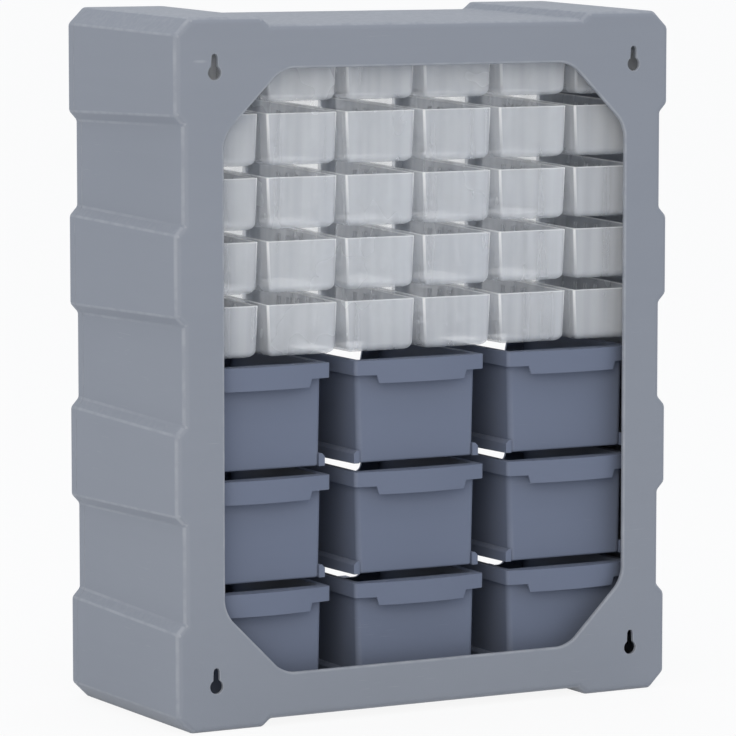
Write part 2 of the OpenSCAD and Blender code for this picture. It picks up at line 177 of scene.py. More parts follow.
class BinSettings(bpy.types.PropertyGroup):
    rim_w: length("Rim width", "Width over the rim", 98.5)
    body_w: length("Body width", "Width of a bin's body at its top", 91.3)
    body_h: length("Body height", "Height of a bin's body over its runners", 69.1)
    lean: length("Lean", "How much narrower the floor is, on each side", 1.6)
    wall: length("Wall", "Wall of a bin", 1.8)
    run_gap: length("Running gap", "Clearance under the bin", 0.3)
    rear_inset: length("Rear inset", "From the packed bin's rear end to the body's rear wall", 7.2)
    rim_rear: length("Rear rim", "How far the rim's corners stand out behind the body", 5.5)
    rim_h: length("Rim height", "Height of the rim's skirt", 10.0)
    rim_bow: length("Rim bow", "How far the middle of the rear rim bows out", 5.5)
    rim_round: length("Rim rounding", "Rounding of the rim's rear corners, inside", 0.8)
    floor_round: length("Floor rounding", "Rounding along the floor", 1.5)
    corner_round: length("Corner rounding", "Rounding of the upright rear corners", 4.0)
    edge_round: length("Edge rounding", "Rounding of thin edges", 0.45)
    runner_h: length("Runner height", "Height of the runners under the floor", 2.4)
    runner_rise: length("Runner rise", "How far the runners rise up the sides", 8.5)
    runner_out: length("Runner out", "How far a runner stands out beside the body", 3.6)
    runner_back: length("Runner back", "How far a runner stands out behind the body", 0.8)
    runner_slope: length("Runner slope", "Leg of the slope along a runner's upper edge", 2.2)
    flap_w: length("Flap width", "Width of the flap on the rear rim", 68.0)
    flap_drop: length("Flap drop", "How far the flap hangs below the skirt", 5.5)
    flap_slant: length("Flap slant", "How far each end of the flap leans in", 1.8)
    panel_t: length("Panel thickness", "Thickness of the front panel", 2.3)
    panel_round: length("Panel rounding", "Rounding of the front panel's corners", 2.5)
    notch_w: length("Notch width", "Width of the finger notch", 62.0)
    notch_d: length("Notch depth", "Depth of the finger notch", 20.0)
    notch_lean: length("Notch lean", "How far the notch's sides lean in", 2.5)
    notch_round: length("Notch rounding", "Rounding of the notch's lower corners", 7.0)
    pull_w: length("Pull width", "Width of the finger pull", 44.0)
    pull_t: length("Pull thickness", "Thickness of the finger pull", 2.0)
    pull_lip: length("Pull lip", "Height of the pull's turned-down edge", 5.0)
    tone: colour("Tone", "Main tone of a bin", (0.167, 0.195, 0.268))
    tone_other: colour("Other tone", "Second tone of a bin", (0.160, 0.188, 0.261))
    roughness: share("Roughness", "Roughness of a bin", 0.5)


class StageSettings(bpy.types.PropertyGroup):
    camera_place: FloatVectorProperty(
        name="Camera place", description="Where the camera stands", default=(1.398, 2.5893, 0.5452),
        subtype="XYZ",
    )
    camera_turn: FloatProperty(
        name="Camera turn", description="Turn from straight behind", default=math.radians(28.31),
        subtype="ANGLE",
    )
    camera_tilt: FloatProperty(
        name="Camera tilt", description="Tilt below level", default=math.radians(5.862), subtype="ANGLE"
    )
    lens: FloatProperty(name="Lens", description="Focal length in millimetres", default=212.16, min=1.0)
    shift: FloatProperty(name="Shift", description="Vertical shift of the lens", default=-0.038)
    sky: colour("Sky", "Tone of the soft light from all around", (0.86, 0.91, 1.0))
    sky_strength: FloatProperty(
        name="Sky strength", description="Strength of the light from all around", default=0.75, min=0.0
    )
    key: colour("Key", "Tone of the large lamp behind the camera", (1.0, 0.90, 0.74))
    key_power: FloatProperty(
        name="Key power", description="Power of the large lamp in watts", default=32.0, min=0.0
    )
    top_power: FloatProperty(
        name="Top power", description="Power of the lamp overhead in watts", default=6.0, min=0.0
    )
    floor_tone: colour("Floor", "Tone of the plain floor", (0.90, 0.90, 0.90))


GROUPS = {
    "cabinet_shell": ShellSettings,
    "cabinet_grid": GridSettings,
    "cabinet_drawer": DrawerSettings,
    "cabinet_bin": BinSettings,
    "cabinet_stage": StageSettings,
}


# ---------------------------------------------------------------- modelling helpers


def closed_loop(bm, points):
    """A closed loop of new vertices through the points, returned as its vertices and edges."""
    verts = [bm.verts.new(p) for p in points]
    return verts, [bm.edges.new(pair) for pair in zip(verts, verts[1:] + verts[:1])]


def verts_of(edges):
    """The vertices of some edges, each once and in the order that they are met."""
    return list(dict.fromkeys(v for e in edges for v in e.verts))


def edges_of(faces):
    """The edges of some faces, each once and in the order that they are met."""
    return list(dict.fromkeys(e for f in faces for e in f.edges))


def verts_in(geometry):
    return [g for g in geometry if isinstance(g, bmesh.types.BMVert)]


def edges_in(geometry):
    return [g for g in geometry if isinstance(g, bmesh.types.BMEdge)]


def faces_in(geometry):
    return [g for g in geometry if isinstance(g, bmesh.types.BMFace)]


def soften(bm, edges, radius, segments=3):
    """Rounds the edges to the radius."""
    edges = [e for e in edges if e.is_valid]
    if not edges:
        raise RuntimeError("there is no edge to round")
    bmesh.ops.bevel(
        bm, geom=edges, offset=radius, offset_type="OFFSET", segments=segments, profile=0.5,
        affect="EDGES", material=-1, clamp_overlap=False, loop_slide=True,
    )
    bm.normal_update()


def flat_face(bm, points, reaches=(), segments=5):
    """A flat face through the points, in which a corner is rounded over its own reach."""
    verts = [bm.verts.new(p) for p in points]
    face = bm.faces.new(verts)
    for reach in sorted({r for r in reaches if r > 0}):
        corners = [v for v, r in zip(verts, reaches) if r == reach]
        made = bmesh.ops.bevel(
            bm, geom=corners, offset=reach, offset_type="OFFSET", segments=segments, profile=0.5,
            affect="VERTICES", material=-1, clamp_overlap=False,
        )
        face = made["verts"][0].link_faces[0]
    return face


def prism(bm, face, along):
    """Makes a solid of a flat face by drawing it out, and returns the far face."""
    made = bmesh.ops.extrude_face_region(bm, geom=[face])["geom"]
    bmesh.ops.translate(bm, vec=along, verts=verts_in(made))
    return faces_in(made)[0]


def draw_out(bm, faces, along):
    """Draws some faces of a solid out of it, and returns the vertices that moved."""
    drawn = bmesh.ops.extrude_face_region(bm, geom=faces)["geom"]
    bmesh.ops.delete(bm, geom=faces, context="FACES")
    moved = verts_in(drawn)
    bmesh.ops.translate(bm, vec=along, verts=moved)
    return moved


def block(bm, low, high):
    """A box between two corners, returned as its vertices."""
    low, high = Vector(low), Vector(high)
    verts = bmesh.ops.create_cube(bm, size=1.0)["verts"]
    bmesh.ops.scale(bm, vec=high - low, verts=verts)
    bmesh.ops.translate(bm, vec=(low + high) / 2, verts=verts)
    return verts


def edges_between(bm, test_a, test_b):
    """The edges that have one face of each kind."""
    found = []
    for e in bm.edges:
        if len(e.link_faces) == 2:
            a, b = e.link_faces
            if (test_a(a) and test_b(b)) or (test_a(b) and test_b(a)):
                found.append(e)
    return found


def edges_in_plane(bm, y):
    """The edges in that upright plane where a flat face in it meets a face that leaves it."""
    found = edges_between(bm, lambda f: abs(f.normal.y) > 0.9, lambda f: abs(f.normal.y) < 0.5)
    return [e for e in found if all(abs(v.co.y - y) < 0.05 * MM for v in e.verts)]


def sharp_edges(faces, degrees):
    """The edges between two of the faces that turn by more than the angle."""
    limit = math.radians(degrees)
    inside = set(faces)
    return [
        e for e in edges_of(faces)
        if len(e.link_faces) == 2 and inside.issuperset(e.link_faces) and e.calc_face_angle(0) > limit
    ]


def give_wall(bm, skin, wall):
    """Gives an open skin, whose faces point outwards, a wall on its inner side.
    The skin's faces stay as the outer side, and the edge of the wall is returned."""
    before = set(bm.faces)
    bmesh.ops.reverse_faces(bm, faces=skin)
    inner = set(faces_in(bmesh.ops.solidify(bm, geom=skin, thickness=-wall)["geom"]))
    bm.normal_update()
    return {f for f in bm.faces if f not in before and f not in inner}


def face_way(bm, way):
    """Makes the faces of a skin agree and turns them so that its largest flat end looks that way."""
    bmesh.ops.recalc_face_normals(bm, faces=bm.faces)
    bm.normal_update()
    end = max(bm.faces, key=lambda f: abs(f.normal.dot(way)) ** 8 * f.calc_area())
    if end.normal.dot(way) < 0:
        bmesh.ops.reverse_faces(bm, faces=bm.faces)
    bm.normal_update()


def bow(verts, half_width, depth):
    """Bows vertices out towards +Y, most in the middle of the width."""
    for v in verts:
        v.co.y += depth * max(0.0, 1.0 - (v.co.x / half_width) ** 2)


def mark_wear_and_highlight(bm):
    """Marks the middle of each rounded outer edge, where handling rubs it and where a highlight is painted,
    in an attribute.
    """
    wear = bm.verts.layers.float.new(WEAR_AND_HIGHLIGHT)
    strip, rounded = 3 * MM, 0.3
    narrow = {f for f in bm.faces if len(f.verts) <= 4 and min(e.calc_length() for e in f.edges) < strip}
    for v in bm.verts:
        bend = sum(e.calc_face_angle_signed(0) for e in v.link_edges if len(e.link_faces) == 2)
        v[wear] = 1.0 if bend > rounded and narrow.issuperset(v.link_faces) else 0.0


def make_piece(bm, name, node, material, body=CABINET):
    """Makes an object of the mesh, which stands for the CAD node and rides on its body."""
    bmesh.ops.remove_doubles(bm, verts=bm.verts, dist=0.002 * MM)
    bmesh.ops.dissolve_degenerate(bm, dist=0.002 * MM, edges=bm.edges)
    bmesh.ops.recalc_face_normals(bm, faces=bm.faces)
    bm.normal_update()
    mark_wear_and_highlight(bm)
    for f in bm.faces:
        f.smooth = True
    mesh = bpy.data.meshes.new(name)
    bm.to_mesh(mesh)
    bm.free()
    mesh.set_sharp_from_angle(angle=SHARP)
    mesh.materials.append(material)
    piece = bpy.data.objects.new(name, mesh)
    bpy.context.scene.collection.objects.link(piece)
    shading = piece.modifiers.new("Even shading", "WEIGHTED_NORMAL")
    shading.keep_sharp = True
    shading.weight = 100
    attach(piece, body)
    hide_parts(node)
    return piece


# ---------------------------------------------------------------- finishes


def add(tree, kind, inputs=None, **settings):
    """Adds a shader node, sets its options and links or sets its inputs."""
    made = tree.nodes.new("ShaderNode" + kind)
    for name, value in settings.items():
        setattr(made, name, value)
    for name, value in (inputs or {}).items():
        if isinstance(value, bpy.types.NodeSocket):
            tree.links.new(value, made.inputs[name])
        else:
            made.inputs[name].default_value = value
    return made


def new_group(name, inputs, outputs):
    """A shader node group with named inputs and outputs, as its tree, its inputs and its output node."""
    tree = bpy.data.node_groups.new(name, "ShaderNodeTree")
    for label, kind, default in inputs:
        socket = tree.interface.new_socket(label, in_out="INPUT", socket_type="NodeSocket" + kind)
        if default is not None:
            socket.default_value = default
    for label, kind in outputs:
        tree.interface.new_socket(label, in_out="OUTPUT", socket_type="NodeSocket" + kind)
    return tree, tree.nodes.new("NodeGroupInput").outputs, tree.nodes.new("NodeGroupOutput")


def shared(name, build):
    """The group of that name, built the first time that it is asked for."""
    return bpy.data.node_groups.get(name) or build(name)


def maths(tree, operation, a, b=0.5, clamp=False):
    return add(tree, "Math", {0: a, 1: b}, operation=operation, use_clamp=clamp).outputs[0]


def spread(tree, value, low, high, to_low=0.0, to_high=1.0):
    """Maps a value from one range to another, held at both ends."""
    made = add(tree, "MapRange", {"From Min": low, "From Max": high, "To Min": to_low, "To Max": to_high})
    tree.links.new(value, made.inputs["Value"])
    return made.outputs["Result"]


def blend_colours(tree, factor, a, b):
    made = add(tree, "Mix", {0: factor, 6: a, 7: b}, data_type="RGBA", clamp_factor=True)
    return made.outputs[2]


def build_tone_drift(name):
    """Two tones of one plastic that drift into each other, with faint flow lines from the moulding."""
    tree, given, out = new_group(
        name,
        [("Vector", "Vector", None), ("Tone", "Color", (0.5, 0.5, 0.5, 1)),
         ("Other Tone", "Color", (0.4, 0.4, 0.4, 1)), ("Scale", "Float", 7.0)],
        [("Color", "Color")],
    )
    cloud = add(tree, "TexNoise", {"Vector": given["Vector"], "Scale": given["Scale"], "Detail": 3.0})
    stretch = add(tree, "Mapping", {"Vector": given["Vector"], "Scale": (3.0, 3.0, 38.0)})
    flow = add(tree, "TexNoise",
               {"Vector": stretch.outputs[0], "Scale": 2.2, "Detail": 2.0, "Distortion": 0.6})
    mixed = maths(tree, "ADD", spread(tree, cloud.outputs["Fac"], 0.35, 0.68, 0.0, 0.75),
                  spread(tree, flow.outputs["Fac"], 0.4, 0.65, 0.0, 0.25))
    tree.links.new(blend_colours(tree, mixed, given["Tone"], given["Other Tone"]), out.inputs["Color"])
    return tree


def build_grain(name):
    """The fine spark-eroded grain of a moulded surface, as a height."""
    tree, given, out = new_group(
        name, [("Vector", "Vector", None), ("Scale", "Float", 900.0), ("Waviness", "Float", 0.4)],
        [("Height", "Float")],
    )
    fine = add(tree, "TexNoise", {"Vector": given["Vector"], "Scale": given["Scale"], "Detail": 2.0})
    wave = add(tree, "TexNoise", {"Vector": given["Vector"], "Scale": 22.0, "Detail": 1.0})
    low = maths(tree, "MULTIPLY", wave.outputs["Fac"], given["Waviness"])
    tree.links.new(maths(tree, "ADD", fine.outputs["Fac"], low), out.inputs["Height"])
    return tree


def build_scuffs(name):
    """Hairline scuffs in two directions, in patches, as a mask."""
    tree, given, out = new_group(
        name, [("Vector", "Vector", None), ("Amount", "Float", 0.5)], [("Mask", "Float")]
    )
    lines = []
    for turn, scale in ((0.5, 46.0), (-0.9, 61.0)):
        lay = add(tree, "Mapping", {"Vector": given["Vector"], "Rotation": (turn, turn, 0.4 * turn),
                                    "Scale": (1.0, 1.0, 26.0)})
        hair = add(tree, "TexNoise", {"Vector": lay.outputs[0], "Scale": scale, "Detail": 1.0})
        lines.append(spread(tree, hair.outputs["Fac"], 0.735, 0.78))
    patch = add(tree, "TexNoise", {"Vector": given["Vector"], "Scale": 11.0, "Detail": 2.0})
    both = maths(tree, "MAXIMUM", lines[0], lines[1])
    patched = maths(tree, "MULTIPLY", both, spread(tree, patch.outputs["Fac"], 0.46, 0.62))
    tree.links.new(maths(tree, "MULTIPLY", patched, given["Amount"]), out.inputs["Mask"])
    return tree


def build_dust(name):
    """Dust that settles on faces which look up, as a mask."""
    tree, given, out = new_group(
        name, [("Vector", "Vector", None), ("Amount", "Float", 0.5)], [("Mask", "Float")]
    )
    normal = add(tree, "NewGeometry").outputs["Normal"]
    up = add(tree, "SeparateXYZ", {0: normal}).outputs["Z"]
    specks = add(tree, "TexNoise", {"Vector": given["Vector"], "Scale": 260.0, "Detail": 3.0})
    laid = maths(tree, "MULTIPLY", spread(tree, up, 0.55, 0.98),
                 spread(tree, specks.outputs["Fac"], 0.4, 0.7))
    tree.links.new(maths(tree, "MULTIPLY", laid, given["Amount"]), out.inputs["Mask"])
    return tree


def build_worn_and_highlighted_edges(name):
    """Paler rounded edges, as a mask: partly wear from handling, partly a painted highlight."""
    tree, given, out = new_group(
        name, [("Vector", "Vector", None), ("Wear", "Float", 0.0), ("Amount", "Float", 0.5)],
        [("Mask", "Float")],
    )
    broken = add(tree, "TexNoise", {"Vector": given["Vector"], "Scale": 85.0, "Detail": 3.0})
    edge = maths(tree, "MULTIPLY", given["Wear"], spread(tree, broken.outputs["Fac"], 0.35, 0.6, 0.35, 1.0))
    tree.links.new(maths(tree, "MULTIPLY", edge, given["Amount"]), out.inputs["Mask"])
    return tree


def build_mark(name):
    """One small mark, an ellipse around a place on the surface, as a mask."""
    tree, given, out = new_group(
        name, [("Vector", "Vector", None), ("Place", "Vector", (0, 0, 0)),
               ("Size", "Vector", (0.01, 0.01, 0.01))],
        [("Mask", "Float")],
    )
    off = add(tree, "VectorMath", {0: given["Vector"], 1: given["Place"]}, operation="SUBTRACT").outputs[0]
    scaled = add(tree, "VectorMath", {0: off, 1: given["Size"]}, operation="DIVIDE").outputs[0]
    far = add(tree, "VectorMath", {0: scaled}, operation="LENGTH").outputs["Value"]
    tree.links.new(spread(tree, far, 1.0, 0.35), out.inputs["Mask"])
    return tree


def use(tree, name, build, **inputs):
    """Places a shared group in a material, with its own values."""
    made = tree.nodes.new("ShaderNodeGroup")
    made.node_tree = shared(name, build)
    for label, value in inputs.items():
        label = label.replace("_", " ")
        if isinstance(value, bpy.types.NodeSocket):
            tree.links.new(value, made.inputs[label])
        else:
            made.inputs[label].default_value = value
    return made.outputs[0]


def opaque(tone):
    return (*tone, 1.0)


def lighter(tone, amount):
    """A tone moved towards white."""
    return tuple(c + (1.0 - c) * amount for c in tone)


def darker(tone, share_left):
    """A tone of which only a share is left."""
    return tuple(c * share_left for c in tone)


def new_material(name):
    """A material with a Principled shader, as the material, its tree, the shader and Object coordinates."""
    material = bpy.data.materials.new(name)
    material.use_nodes = True
    tree = material.node_tree
    shader = tree.nodes["Principled BSDF"]
    return material, tree, shader, add(tree, "TexCoord").outputs["Object"]


def moulded_plastic(name, settings, grain, depth, wear_and_highlight_amount, dust, scuffs, gloss=0.42, marks=()):
    """Opaque moulded plastic: drifting tones, grain, edges made paler by wear and by a painted highlight,
    hairline scuffs and settled dust.
    """
    material, tree, shader, place = new_material(name)
    tone = use(tree, "Tone drift", build_tone_drift, Vector=place, Tone=opaque(settings.tone),
               Other_Tone=opaque(settings.tone_other))
    wear_and_highlight_mark = add(tree, "Attribute", attribute_name=WEAR_AND_HIGHLIGHT, attribute_type="GEOMETRY").outputs["Fac"]
    edge = use(tree, "Worn and highlighted edges", build_worn_and_highlighted_edges, Vector=place, Wear=wear_and_highlight_mark, Amount=wear_and_highlight_amount)
    hair = use(tree, "Handling scuffs", build_scuffs, Vector=place, Amount=scuffs)
    laid = use(tree, "Settled dust", build_dust, Vector=place, Amount=dust)
    # Paler edges: partly wear from handling, partly a painted highlight along the rounded edges.
    tone = blend_colours(tree, edge, tone, opaque(lighter(settings.tone, 0.22)))
    tone = blend_colours(tree, hair, tone, opaque(lighter(settings.tone, 0.30)))
    tone = blend_colours(tree, laid, tone, opaque(lighter(settings.tone, 0.35)))
    height = use(tree, "Moulded grain", build_grain, Vector=place, Scale=grain)
    height = maths(tree, "SUBTRACT", height, maths(tree, "MULTIPLY", hair, 0.5))
    for at, size in marks:
        mark = use(tree, "Small mark", build_mark, Vector=place, Place=at, Size=size)
        faint = maths(tree, "MULTIPLY", mark, 0.5)
        tone = blend_colours(tree, faint, tone, opaque(lighter(settings.tone, 0.15)))
        height = maths(tree, "ADD", height, maths(tree, "MULTIPLY", mark, 1.5))
    dull = maths(tree, "ADD", laid, edge)
    rough = spread(tree, dull, 0.0, 1.0, settings.roughness, settings.roughness + 0.2)
    rough = maths(tree, "SUBTRACT", rough, maths(tree, "MULTIPLY", hair, 0.18))
    bump = add(tree, "Bump", {"Strength": 1.0, "Distance": depth, "Height": height})
    tree.links.new(tone, shader.inputs["Base Color"])
    tree.links.new(rough, shader.inputs["Roughness"])
    tree.links.new(bump.outputs[0], shader.inputs["Normal"])
    shader.inputs["Specular IOR Level"].default_value = gloss
    return material


def milky_plastic(name, settings):
    """Milky plastic that lets light through and veils what is behind it. The front panel is clearer, and
    the upright corners and the rim get a painted highlight: whiter, more opaque and with a painted faint
    glow."""
    material, tree, shader, place = new_material(name)
    tone = use(tree, "Tone drift", build_tone_drift, Vector=place, Tone=opaque(settings.tone),
               Other_Tone=opaque(settings.tone_other), Scale=14.0)
    hair = use(tree, "Handling scuffs", build_scuffs, Vector=place, Amount=0.04)
    line = add(tree, "Attribute", attribute_name=PAINTED_HIGHLIGHT, attribute_type="GEOMETRY").outputs["Fac"]
    panel = add(tree, "Attribute", attribute_name=PANEL, attribute_type="GEOMETRY").outputs["Fac"]
    flow = add(tree, "Mapping", {"Vector": place, "Scale": (95.0, 95.0, 5.0)})
    bands = add(tree, "TexNoise", {"Vector": flow.outputs[0], "Scale": 1.0, "Detail": 1.5}).outputs["Fac"]
    scuffs_and_highlight = maths(tree, "MAXIMUM", hair, line)
    banded = spread(tree, bands, 0.42, 0.66, 0.0, 0.5)
    tone = blend_colours(tree, banded, tone, opaque(darker(settings.tone, 0.92)))
    tone = blend_colours(tree, panel, tone, opaque(darker(settings.tone, 1.0 - settings.panel_shade)))
    # Painted highlight: the rim and the upright corners are blended to white, as are the scuffs.
    tone = blend_colours(tree, scuffs_and_highlight, tone, (1.0, 1.0, 1.0, 1.0))
    alpha = maths(tree, "ADD", spread(tree, panel, 0.0, 1.0, settings.cover, settings.panel_cover),
                  spread(tree, bands, 0.35, 0.65, -0.06, 0.06))
    # The painted highlight also makes the rim and the upright corners more opaque.
    alpha = maths(tree, "ADD", alpha, maths(tree, "MULTIPLY", scuffs_and_highlight, 0.4), clamp=True)
    height = use(tree, "Moulded grain", build_grain, Vector=place, Scale=320.0, Waviness=1.2)
    bump = add(tree, "Bump", {"Strength": 1.0, "Distance": 0.01 * MM, "Height": height})
    haze = add(tree, "TexNoise", {"Vector": place, "Scale": 24.0, "Detail": 2.0})
    rough = spread(tree, haze.outputs["Fac"], 0.3, 0.7, settings.roughness - 0.05,
                   settings.roughness + 0.05)
    # Painted glow: the rim and the upright corners give off a faint white light.
    painted_glow = blend_colours(tree, line, (0.0, 0.0, 0.0, 1.0), (1.0, 1.0, 1.0, 1.0))
    tree.links.new(tone, shader.inputs["Base Color"])
    tree.links.new(alpha, shader.inputs["Alpha"])
    tree.links.new(rough, shader.inputs["Roughness"])
    tree.links.new(bump.outputs[0], shader.inputs["Normal"])
    tree.links.new(painted_glow, shader.inputs["Emission Color"])
    shader.inputs["Emission Strength"].default_value = 0.12
    shader.inputs["Transmission Weight"].default_value = settings.clearness
    shader.inputs["IOR"].default_value = 1.12
    return material


# ---------------------------------------------------------------- shell and frame


def half_outline(s, lean):
    """The +X half of the cabinet's outline in X and Z, from the base up.
    lean is how far the sides and the top lean in at that depth."""
    x, top = SHELL_HIGH.x - lean, SHELL_HIGH.z - lean
    full = SHELL_HIGH.z
    band = (full - 2 * s.corner_pad_h - 2 * s.mid_pad_h) / 3
    low_mid = s.corner_pad_h + band
    pad_x = SHELL_HIGH.x - s.corner_pad_w + lean
    bands = (
        (s.corner_pad_h - lean, low_mid + lean),
        (low_mid + s.mid_pad_h - lean, full - low_mid - s.mid_pad_h + lean),
        (full - low_mid - lean, full - s.corner_pad_h + lean),
    )
    sunk = x - s.side_recess
    points = [(pad_x - s.pad_slope, s.end_recess), (pad_x, 0), (x - s.corner_cut, 0), (x, s.corner_cut)]
    for low, high in bands:
        points += [(x, low), (sunk, low + s.pad_slope), (sunk, high - s.pad_slope), (x, high)]
    return points + [
        (x, top - s.corner_cut), (x - s.corner_cut, top), (pad_x, top),
        (pad_x - s.pad_slope, top - s.end_recess),
    ]


def outline(s, y, lean):
    half = half_outline(s, lean)
    return [(x, y, z) for x, z in half] + [(-x, y, z) for x, z in reversed(half)]


def ribbed_sides(bm, s, y_open, y_closed, lean, radius):
    """The ribbed wall from its open edge to the closed end, whose edge is rounded.
    Returns the loop of edges that is left around the closed end."""
    _open_corners, start = closed_loop(bm, outline(s, y_open, 0.0))
    corners, end = closed_loop(bm, outline(s, y_closed, lean))
    bmesh.ops.bridge_loops(bm, edges=start + end)
    cap = bm.faces.new(corners)
    bmesh.ops.recalc_face_normals(bm, faces=bm.faces)
    soften(bm, list(cap.edges), radius, 5)
    cap = max((f for f in bm.faces if abs(f.normal.y) > 0.99), key=lambda f: f.calc_area())
    rim = list(cap.edges)
    bmesh.ops.delete(bm, geom=[cap], context="FACES_ONLY")
    return rim


def hole_ring(bm, face, margin):
    """A flat ring just inside a face's edge, around a hole. Returns the ring's outer and inner edges."""
    ring = bmesh.ops.inset_region(
        bm, faces=[face], thickness=margin, use_even_offset=True, use_boundary=True)["faces"]
    inner = list(face.edges)
    bmesh.ops.delete(bm, geom=[face], context="FACES_ONLY")
    outer = [e for e in edges_of(ring) if e.is_boundary and e not in inner]
    return outer, inner


def fill_between(bm, edges, way):
    """Fills a flat region between closed loops of edges with a few large faces."""
    made = bmesh.ops.triangle_fill(bm, use_beauty=True, use_dissolve=False, edges=edges, normal=way)["geom"]
    bmesh.ops.dissolve_limit(bm, angle_limit=math.radians(1), verts=[], edges=edges_in(made))


def opening_ring(bm, s):
    """The eight-sided opening in the back face, with a margin that its rounded lip is cut from."""
    margin = 2 * s.opening_lip
    x = SHELL_HIGH.x - s.draft - s.opening_side + margin
    low = s.opening_low - margin
    high = SHELL_HIGH.z - s.draft - s.opening_top + margin
    cut = s.opening_cut + (2 - math.sqrt(2)) * margin
    points = [
        (x - cut, low), (x, low + cut), (x, high - cut), (x - cut, high),
        (cut - x, high), (-x, high - cut), (-x, low + cut), (cut - x, low),
    ]
    reach = (s.opening_round + margin) * math.tan(math.pi / 8)
    face = flat_face(bm, [(px, SHELL_HIGH.y, pz) for px, pz in points], [reach] * len(points), 8)
    return hole_ring(bm, face, margin)


def keyhole_ring(bm, s, x, z, margin):
    """One keyhole in the back face: a round hole whose top is drawn up into a slot."""
    radius, half_slot = s.key_radius + margin, s.key_slot + margin
    segments = 32
    made = bmesh.ops.create_circle(bm, cap_ends=True, segments=segments, radius=radius)["verts"]
    turn = 2 * math.pi / segments
    top_corners = 2  # on each side of the highest corner, these form the slot's round end
    for v in made:
        angle = math.atan2(v.co.x, v.co.y)
        if abs(angle) < (top_corners + 0.5) * turn:
            drawn = angle / (top_corners * turn) * math.pi / 2
            v.co.x, v.co.y = half_slot * math.sin(drawn), s.key_rise + half_slot * math.cos(drawn)
    bmesh.ops.rotate(bm, cent=(0, 0, 0), matrix=Matrix.Rotation(math.pi / 2, 3, "X"), verts=made)
    bmesh.ops.translate(bm, vec=(x, SHELL_HIGH.y, z), verts=made)
    return hole_ring(bm, made[0].link_faces[0], margin)


def build_shell(s, material):
    """The rear shell: ribbed sides, a back face with its opening and keyholes, and an even wall."""
    bm = bmesh.new()
    back = Vector((0, 1, 0))
    rim = ribbed_sides(bm, s, SHELL_LOW.y, SHELL_HIGH.y, s.draft, s.back_round)
    outer, _lip = opening_ring(bm, s)
    key_x = SHELL_HIGH.x - s.draft - s.key_side
    key_margin = 0.5 * MM
    for x in (-key_x, key_x):
        for z in (s.key_low, SHELL_HIGH.z - s.draft - s.key_top):
            outer += keyhole_ring(bm, s, x, z, key_margin)[0]
    fill_between(bm, rim + outer, back)
    face_way(bm, back)
    skin = list(bm.faces)
    give_wall(bm, skin, s.wall)
    soften(bm, sharp_edges(skin, 20), s.crease_round)
    soften(bm, edges_in_plane(bm, SHELL_LOW.y), s.seam_round, 2)
    lips = edges_in_plane(bm, SHELL_HIGH.y)
    keyhole_x = key_x - s.key_radius - key_margin
    key_lip = 0.4 * MM
    soften(bm, [e for e in lips if abs(e.verts[0].co.x) > keyhole_x], key_lip, 2)
    soften(bm, [e for e in lips if e.is_valid and abs(e.verts[0].co.x) < keyhole_x], s.opening_lip)
    return make_piece(bm, "rear_shell_moulding", "rear_shell", material)


def build_bezel(s, material):
    """The front frame: a ribbed rim, a flat face around the drawers and a sleeve that reaches back."""
    bm = bmesh.new()
    front = Vector((0, -1, 0))
    rim = ribbed_sides(bm, s, SHELL_LOW.y, BEZEL_LOW.y, 0.0, s.front_round)
    x, low, high = GRID_HIGH.x, GRID_FOOT, GRID_HIGH.z
    margin = s.front_round
    points = [(-x - margin, low - margin), (x + margin, low - margin), (x + margin, high + margin),
              (-x - margin, high + margin)]
    face = flat_face(bm, [(px, BEZEL_LOW.y, pz) for px, pz in points])
    outer, inner = hole_ring(bm, face, margin)
    fill_between(bm, rim + outer, front)
    drawn = bmesh.ops.extrude_edge_only(bm, edges=inner)["geom"]
    depth = SHELL_LOW.y + s.sleeve - BEZEL_LOW.y
    bmesh.ops.translate(bm, vec=(0, depth, 0), verts=verts_in(drawn))
    face_way(bm, front)
    skin = list(bm.faces)
    give_wall(bm, skin, s.wall)
    soften(bm, sharp_edges(skin, 20), s.crease_round)
    soften(bm, edges_in_plane(bm, SHELL_LOW.y), s.seam_round, 2)
    return make_piece(bm, "front_frame_moulding", "front_frame", material)


# ---------------------------------------------------------------- guide grid


def build_grid(node, s, material):
    """A part of the guide grid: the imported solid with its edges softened."""
    bm = bmesh.new()
    bm.from_mesh(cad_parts[node].data)
    bmesh.ops.remove_doubles(bm, verts=bm.verts, dist=0.01 * MM)
    bmesh.ops.dissolve_limit(bm, angle_limit=math.radians(1), verts=bm.verts, edges=bm.edges)
    soften(bm, [e for e in bm.edges if e.calc_face_angle(0) > math.radians(30)], s.edge_round, 2)
    return make_piece(bm, node + "_moulding", node, material)


# ---------------------------------------------------------------- drawers


FLOOR, UPRIGHT, EITHER = {True}, {False}, {True, False}


def tray_skin(bm, size, rounds, rear_lean=0.0, front_rise=0.0):
    """The open skin of a tray: a floor, two leaning sides and a rear wall.
    size is half the top width, the lean, the low and high ends, and the front and rear ends.
    Each rounding is a radius, its segments and the edges that it takes."""
    half, lean, low, high, front, rear = size
    for v in block(bm, (-half, front, low), (half, rear, high)):
        if v.co.z < (low + high) / 2:
            v.co.x -= math.copysign(lean, v.co.x)
            v.co.y -= rear_lean if v.co.y > 0 else 0.0
        elif v.co.y < (front + rear) / 2:
            v.co.z += front_rise
    bm.normal_update()
    top_and_front = [f for f in bm.faces if f.normal.z > 0.9 or f.normal.y < -0.9]
    bmesh.ops.delete(bm, geom=top_and_front, context="FACES")
    for radius, segments, wanted in rounds:
        edges = [e for e in sharp_edges(list(bm.faces), 25)
                 if all(v.co.z < (low + high) / 2 for v in e.verts) in wanted]
        soften(bm, edges, radius, segments)
    face_way(bm, Vector((0, 0, -1)))


def round_rims(bm, edge_faces, radius):
    """Rounds both edges of a wall's rim."""
    soften(bm, edges_between(bm, lambda f: f in edge_faces, lambda f: f not in edge_faces), radius, 2)


